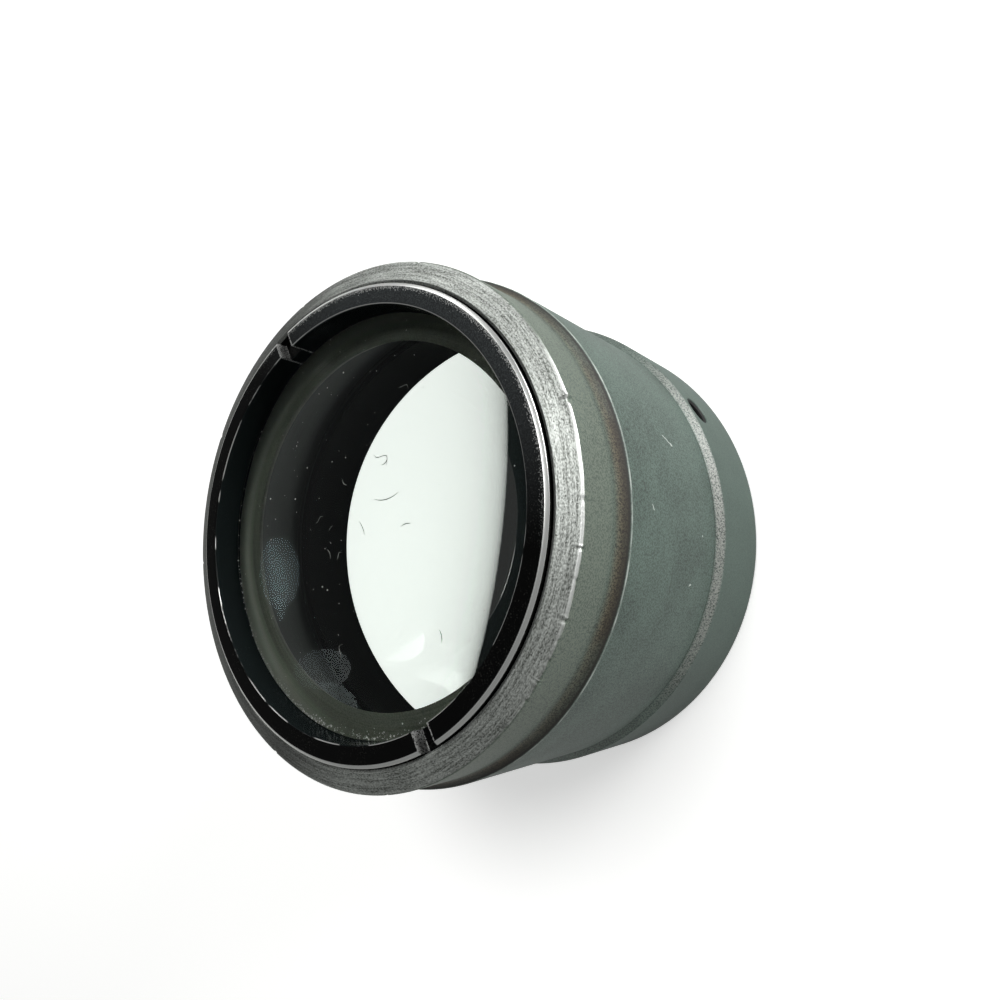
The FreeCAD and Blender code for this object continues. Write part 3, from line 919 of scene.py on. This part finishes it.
@dataclass
class RetainingRing:
    """Threaded ring that clamps the glass, with two spanner slots. Sizes are in mm and degrees."""

    bore_radius: float = 24.63
    outer_radius: float = 27.06
    rear: float = 41.598
    front: float = 44.998
    bevel_width: float = 0.4
    bevel_height: float = 0.25
    slot_width: float = 2.3
    slot_depth: float = 1.6
    slot_angle: float = -1.8
    middle: float = 26.0
    columns: int = 480

    def outline(self) -> Outline:
        """Outline of the ring, from its bore at the rear outwards and forwards."""
        return Outline(
            [
                Corner(self.bore_radius, self.rear, 0.0),
                Corner(self.outer_radius - 0.4, self.rear, 0.0),
                Corner(self.outer_radius, self.rear + 0.4, 0.0),
                Corner(self.outer_radius, self.front - self.bevel_height, 0.06),
                Corner(self.outer_radius - self.bevel_width, self.front, 0.06),
                Corner(self.bore_radius, self.front, 0.1),
            ],
            step=0.6,
        )

    def column_angles(self) -> np.ndarray:
        """Angles of the columns, with one just inside and one just outside each slot's walls."""
        even = even_turns(self.columns)
        half = math.asin(self.slot_width / 2 / self.middle)
        edges = [
            math.radians(self.slot_angle + turn) + side * half + nudge
            for turn in (0, 180)
            for side in (-1, 1)
            for nudge in (-2e-4, 2e-4)
        ]
        edges = np.mod(edges, 2 * math.pi)
        gap = np.abs(even[:, None] - edges[None, :]).min(axis=1)
        return np.sort(np.concatenate([even[gap > 1.5e-3], edges]))

    def cut_slots(self, radii: np.ndarray, heights: np.ndarray, angles: np.ndarray) -> Grid:
        """Lowers the surface to the slot's floor where r x |sin(a - slot)| is under half its width.

        Takes and returns the radii, heights and angles of the grid.
        """
        offset = np.abs(self.middle * np.sin(angles - math.radians(self.slot_angle)))
        floor = self.front - self.slot_depth
        inside = offset < self.slot_width / 2
        return radii, np.where(inside, np.minimum(heights, floor), heights), angles

    def build(self) -> None:
        """Makes the piece and dresses it."""
        piece = turned_object(
            "retaining_ring_black",
            self.outline(),
            self.column_angles(),
            [BlackenedSteel().material()],
            self.cut_slots,
        )
        install(piece, "retaining_ring")


@dataclass
class Spacer:
    """Flat black spacer between the rims of the elements. Sizes are in mm."""

    outer_radius: float = 26.3
    bore_radius: float = 21.4
    rear: float = 35.683
    front: float = 36.862
    columns: int = 256

    def build(self) -> None:
        """Makes the piece and dresses it."""
        outline = Outline(
            [
                Corner(self.bore_radius, self.rear, 0.05),
                Corner(self.outer_radius, self.rear, 0.0),
                Corner(self.outer_radius, self.front, 0.0),
                Corner(self.bore_radius, self.front, 0.05),
            ],
            step=1.0,
        )
        # The lighter rim tone given here is painted light.
        coat = PlainCoat("spacer_matt", "4e5148", "6c7065", 0.6, 0.2, "a6aa9f", (22.6, 25.0))
        piece = turned_object("flat_spacer", outline, even_turns(self.columns), [coat.material()])
        install(piece, "spacer")


@dataclass(frozen=True)
class Element:
    """Glass element with a bulging rear face. Sizes are in mm.

    Attributes:
        vertex: Height of the middle of its rear face.
        thickness: Its thickness on the axis.
        rear_curve: Radius of its rear face.
        front_curve: Radius of its front face.
        hollow: Whether the front face is hollow, with a flat land round it, and doesn't bulge.
    """

    vertex: float
    thickness: float
    rear_curve: float
    front_curve: float
    hollow: bool
    rim: float = 26.3
    bevel: float = 0.35
    land: float = 0.5
    rings: int = 48
    columns: int = 256

    def cap(self, curve: float, vertex: float, edge: float, side: int) -> list[Corner]:
        """Corners of a polished cap, from the axis out to its edge.

        Args:
            curve: Radius of its sphere.
            vertex: Height of its middle.
            edge: Radius where it ends.
            side: 1 where it is the top of its sphere, and -1 where it is the bottom.

        Returns:
            The corners in order.
        """
        start = side * math.pi / 2
        end = start - side * math.asin(edge / curve)
        return arc_corners((0.0, vertex - side * curve), curve, start, end, self.rings)

    def outline(self) -> Outline:
        """Outline of the element, from the middle of its rear face round to that of its front face."""
        inner = self.rim - self.bevel
        rear = self.cap(self.rear_curve, self.vertex, inner, -1)
        edge, side = (inner - self.land, -1) if self.hollow else (inner, 1)
        front = self.cap(self.front_curve, self.vertex + self.thickness, edge, side)[::-1]
        low, high = rear[-1].z, front[0].z
        ground = [(inner, low), (self.rim, low + self.bevel), (self.rim, high - self.bevel)]
        if self.hollow:
            ground.append((inner, high))
        edges = [Corner(r, z, 0.0, Layer.EDGE) for r, z in ground]
        return Outline([*rear[:-1], *edges, *front], closed=False, step=1.5)

    def build(self, name: str, node: str, slot: str, finishes: Sequence[bpy.types.Material]) -> None:
        """Makes the element and dresses it with its polished and its ground finish."""
        piece = turned_object(name, self.outline(), even_turns(self.columns), finishes)
        install(piece, node)


@dataclass(frozen=True)
class GlassPair:
    """The two glass elements, of crown glass in front and flint glass behind."""

    front: Element = Element(33.354, 10.798, 67.0, 120.0, False)
    rear: Element = Element(7.424, 25.0, 120.0, 101.0, True)

    def build(self) -> None:
        """Makes both elements and dresses them."""
        crown = PolishedGlass("crown_glass", 1.517).material()
        flint = PolishedGlass("flint_glass", 1.62).material()
        ground = PlainCoat("ground_edge", "4e5148", "6c7065", 0.6).material()
        painted = PlainCoat("painted_edge", "18211d", "2a3630", 0.5, 0.12).material()
        self.front.build("front_glass_element", "front_element", "front_glass", [crown, ground])
        self.rear.build("rear_glass_element", "rear_element", "rear_glass", [flint, painted])


@dataclass(frozen=True)
class Fibre:
    """Fibre of lint that lies on the front glass.

    Attributes:
        x: Where its middle is, in mm.
        y: Where its middle is, in mm.
        turn: Direction from end to end, in degrees.
        length: Distance from end to end, in mm.
        bow: How far its middle bows out, as a share of the length.
        kink: How far it sways to either side, as a share of the length.
    """

    x: float
    y: float
    turn: float
    length: float
    bow: float = 0.1
    kink: float = 0.0


@dataclass
class GlassLint:
    """Fibres and flakes of dust on the front glass. Sizes are in mm."""

    curve: float = 120.0
    vertex: float = 44.152
    ring_bore: float = 24.63
    thickness: float = 0.055
    stations: int = 17
    corner_flakes: int = 420
    loose_flakes: int = 120
    dust_turn: float = -48.0
    dust_spread: float = 30.0
    seed: int = 7
    fibres: tuple[Fibre, ...] = (
        Fibre(-3.4, 6.8, 23.0, 2.4, 0.25, 0.18),
        Fibre(-2.9, 7.3, 100.0, 1.1, -0.2),
        Fibre(0.7, 5.8, 69.0, 3.6, -0.12),
        Fibre(1.9, 1.0, -1.0, 1.9, 0.08),
        Fibre(17.3, 4.4, -21.0, 1.4, 0.1),
        Fibre(-2.9, -4.6, 86.0, 1.5, 0.1, 0.1),
        Fibre(-0.9, -3.3, 99.0, 0.9),
        Fibre(1.5, -5.1, 0.0, 1.3, 0.2),
        Fibre(2.7, -3.6, 102.0, 1.2, 0.2, 0.1),
        Fibre(-4.4, 1.1, 18.0, 1.1, -0.2),
        Fibre(5.1, 6.6, 72.0, 1.4, 0.1),
        Fibre(-9.0, 13.0, 40.0, 1.6, 0.3, 0.1),
        Fibre(12.0, -9.0, 130.0, 1.8, 0.25, 0.12),
    )

    def on_glass(self, x: np.ndarray, y: np.ndarray) -> np.ndarray:
        """Height of the glass: that of a sphere with the curve's radius whose top is the vertex."""
        return self.vertex - self.curve + np.sqrt(self.curve**2 - x**2 - y**2)

    def strands(self) -> tuple[np.ndarray, np.ndarray]:
        """Makes the fibres.

        With s from -1 to 1 a fibre of length L runs along L s / 2 and lies off that line by
        L (bow (1 - s^2) + kink sin(pi s)). Its section is a square on edge, which shrinks to a
        fifth towards the ends.

        Returns:
            Points, and four point numbers for each face.
        """
        table = np.array([(f.x, f.y, f.turn, f.length, f.bow, f.kink) for f in self.fibres])
        x, y, turn, length, bow, kink = table.T[:, :, None]
        s = np.linspace(-1, 1, self.stations)[None, :]
        along = length * s / 2
        aside = length * (bow * (1 - s**2) + kink * np.sin(math.pi * s))
        turn = np.radians(turn)
        px = x + along * np.cos(turn) - aside * np.sin(turn)
        py = y + along * np.sin(turn) + aside * np.cos(turn)
        thick = self.thickness * np.sqrt(1.04 - s**2)
        corner = np.arange(4) * math.pi / 2
        spread, lift = thick[..., None] * np.cos(corner), thick[..., None] * np.sin(corner)
        qx = px[..., None] - spread * np.sin(turn)[..., None]
        qy = py[..., None] + spread * np.cos(turn)[..., None]
        qz = self.on_glass(px, py)[..., None] + self.thickness + lift
        points = np.stack([qx, qy, qz], axis=-1).reshape(-1, 3)

        first = np.arange(len(self.fibres))[:, None, None] * self.stations * 4
        station = np.arange(self.stations - 1)[None, :, None] * 4
        here, after = np.arange(4), (np.arange(4) + 1) % 4
        base = first + station
        rings = [base + here, base + after, base + 4 + after, base + 4 + here]
        walls = np.stack(rings, axis=-1).reshape(-1, 4)
        starts = first[:, 0] + here[::-1]
        ends = starts + (self.stations - 1) * 4
        return points, np.concatenate([walls, starts, ends[:, ::-1]])

    def flakes(self) -> tuple[np.ndarray, np.ndarray]:
        """Makes the flakes: flat octahedra, most of them in the corner between ring and glass.

        Returns:
            Points, and three point numbers for each face.
        """
        chance = np.random.default_rng(self.seed)
        some = self.corner_flakes * 3 // 4
        turn = np.concatenate(
            [
                math.radians(self.dust_turn) + math.radians(self.dust_spread) * chance.standard_normal(some),
                2 * math.pi * chance.random(self.corner_flakes - some + self.loose_flakes),
            ]
        )
        radius = np.concatenate(
            [
                self.ring_bore - 0.14 - 0.4 * np.abs(chance.standard_normal(self.corner_flakes)),
                self.ring_bore * np.sqrt(chance.random(self.loose_flakes)) * 0.98,
            ]
        )
        x, y = radius * np.cos(turn), radius * np.sin(turn)
        size = 0.035 + 0.03 * chance.exponential(size=len(x)).clip(0, 3)
        star = np.array([(1, 0, 0), (0, 1, 0), (-1, 0, 0), (0, -1, 0), (0, 0, 0.5), (0, 0, -0.5)])
        middles = np.stack([x, y, self.on_glass(x, y) + size / 2], axis=-1)
        points = (middles[:, None] + size[:, None, None] * star).reshape(-1, 3)
        side = np.arange(4)
        upper = np.stack([side, (side + 1) % 4, np.full(4, 4)], axis=-1)
        lower = np.stack([(side + 1) % 4, side, np.full(4, 5)], axis=-1)
        faces = np.concatenate([upper, lower])[None] + 6 * np.arange(len(x))[:, None, None]
        return points, faces.reshape(-1, 3)

    def build(self) -> None:
        """Makes both sorts as one piece and dresses it."""
        strands, quads = self.strands()
        flakes, triangles = self.flakes()
        mesh = bpy.data.meshes.new("glass_lint")
        points = np.concatenate([strands, flakes]) * MM
        mesh.from_pydata(points.tolist(), [], quads.tolist() + (triangles + len(strands)).tolist())
        sorts = np.repeat([0, 1], [len(quads), len(triangles)]).astype(np.int32)
        mesh.polygons.foreach_set("material_index", sorts)
        mesh.materials.append(PlainCoat("lint_fibre", "3c403c", "7f837e", 0.9).material())
        mesh.materials.append(PlainCoat("dust", "a4a8a2", "e2e5df", 0.9).material())
        lint = placed("glass_lint", mesh)
        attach(lint, BODY)
        LOG.info("glass_lint: %d faces", len(mesh.polygons))


@dataclass
class Studio:
    """Floor, lamps, world and camera."""

    world_light: float = 0.22
    world_seen: float = 1.0
    world_in_glass: float = 0.03
    floor_side: float = 3.0
    floor_drop: float = 0.05
    floor_colour: str = "f4f4f2"
    floor_glow: tuple[tuple[str, float], ...] = (
        ("Is Camera Ray", 0.5),
        ("Is Glossy Ray", 0.1),
        ("Is Transmission Ray", 0.92),
    )
    world_colour: str = "f2f4f3"
    lamp_aim: tuple[float, float, float] = (0.0, 0.0, 0.03)
    camera_place: tuple[float, float, float] = (40.60, 51.80, 104.48)
    camera_right: tuple[float, float, float] = (0.4004, 0.7006, -0.5907)
    camera_forward: tuple[float, float, float] = (-0.4063, -0.4420, -0.7997)
    focal_pixels: float = 772.4
    sensor: float = 36.0

    def floor_material(self) -> bpy.types.Material:
        """Matt pale paper that also glows for what the camera, the metal and the glass see of it."""
        graph = Graph(bpy.data.materials.new("studio_paper"))
        glow: Socket | float = 0.0
        for ray, share in self.floor_glow:
            glow = graph.math("MULTIPLY_ADD", graph.add("LightPath", out=ray), share, glow)
        inputs = {
            "Base Color": linear(self.floor_colour),
            "Roughness": 0.9,
            "Specular IOR Level": 0.0,
            "Emission Color": linear("ffffff"),
            "Emission Strength": glow,
        }
        graph.add("OutputMaterial", {"Surface": graph.add("BsdfPrincipled", inputs)})
        return graph.owner

    def add_floor(self) -> None:
        """Lays the floor just under the rear face."""
        half, low = self.floor_side / 2, -self.floor_drop * MM
        corners = [(-half, -half, low), (half, -half, low), (half, half, low), (-half, half, low)]
        mesh = bpy.data.meshes.new("studio_floor")
        mesh.from_pydata(corners, [], [(0, 1, 2, 3)])
        mesh.materials.append(self.floor_material())
        floor = placed("studio_floor", mesh)

    def add_world(self) -> None:
        """Lights the scene evenly; the world is white to the camera and dim to light from the glass."""
        world = bpy.data.worlds.new("studio")
        graph = Graph(world)
        direct = graph.add("LightPath", out="Is Camera Ray")
        through = graph.add("LightPath", out="Is Transmission Ray")
        outside = {"Value": direct, "To Min": self.world_light, "To Max": self.world_seen}
        levels = {"Value": through, "To Min": graph.add("MapRange", outside), "To Max": self.world_in_glass}
        light = {"Color": linear(self.world_colour), "Strength": graph.add("MapRange", levels)}
        graph.add("OutputWorld", {"Surface": graph.add("Background", light)})
        bpy.context.scene.world = world

    def camera_axes(self) -> tuple[Vector, Vector, Vector]:
        """Right, up and backward directions of the camera, square to each other."""
        back = -Vector(self.camera_forward).normalized()
        right = Vector(self.camera_right)
        right = (right - back * right.dot(back)).normalized()
        return right, back.cross(right), back

    def add_lamp(
        self, name: str, side: float, rise: float, nearer: float, power: float, width: float
    ) -> None:
        """Adds one soft area lamp that faces the part.

        Args:
            name: Name of the lamp.
            side: How far to the right of the part, as the camera sees it, in metres.
            rise: How far up in the picture, in metres.
            nearer: How far towards the camera, in metres.
            power: Power in watts.
            width: Width of the round lamp in metres.
        """
        right, up, back = self.camera_axes()
        centre = Vector(self.lamp_aim)
        place = centre + right * side + up * rise + back * nearer
        data = bpy.data.lights.new(name, "AREA")
        data.shape = "DISK"
        data.energy = power
        data.size = width
        lamp = placed(name, data)
        lamp.location = place
        lamp.rotation_mode = "QUATERNION"
        lamp.rotation_quaternion = (place - centre).to_track_quat("Z", "Y")

    def add_camera(self) -> None:
        """Sets the camera up as in the photograph."""
        right, up, back = self.camera_axes()
        data = bpy.data.cameras.new("camera")
        data.sensor_width = self.sensor
        data.lens = self.sensor * self.focal_pixels / IMAGE_SIDE
        data.clip_start = 0.005
        camera = placed("camera", data)
        turn = Matrix((right, up, back)).transposed().to_4x4()
        camera.matrix_world = Matrix.Translation(Vector(self.camera_place) * MM) @ turn
        bpy.context.scene.camera = camera

    def build(self) -> None:
        """Sets up the whole studio."""
        self.add_floor()
        self.add_world()
        self.add_camera()
        self.add_lamp("key", 0.40, 0.42, 0.22, 8.5, 0.35)
        self.add_lamp("front", -0.36, 0.35, 0.63, 2.5, 0.34)
        self.add_lamp("top", -0.32, 0.52, 0.08, 0.6, 0.30)
        bpy.context.scene.view_settings.view_transform = "Standard"


def main() -> None:
    """Builds the dressed part and its studio."""
    logging.basicConfig(level=logging.INFO, format="%(name)s: %(message)s")
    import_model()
    Studio().build()
    for part in (Cell(), RetainingRing(), Spacer(), GlassPair(), GlassLint()):
        part.build()


if __name__ == "__main__":
    main()
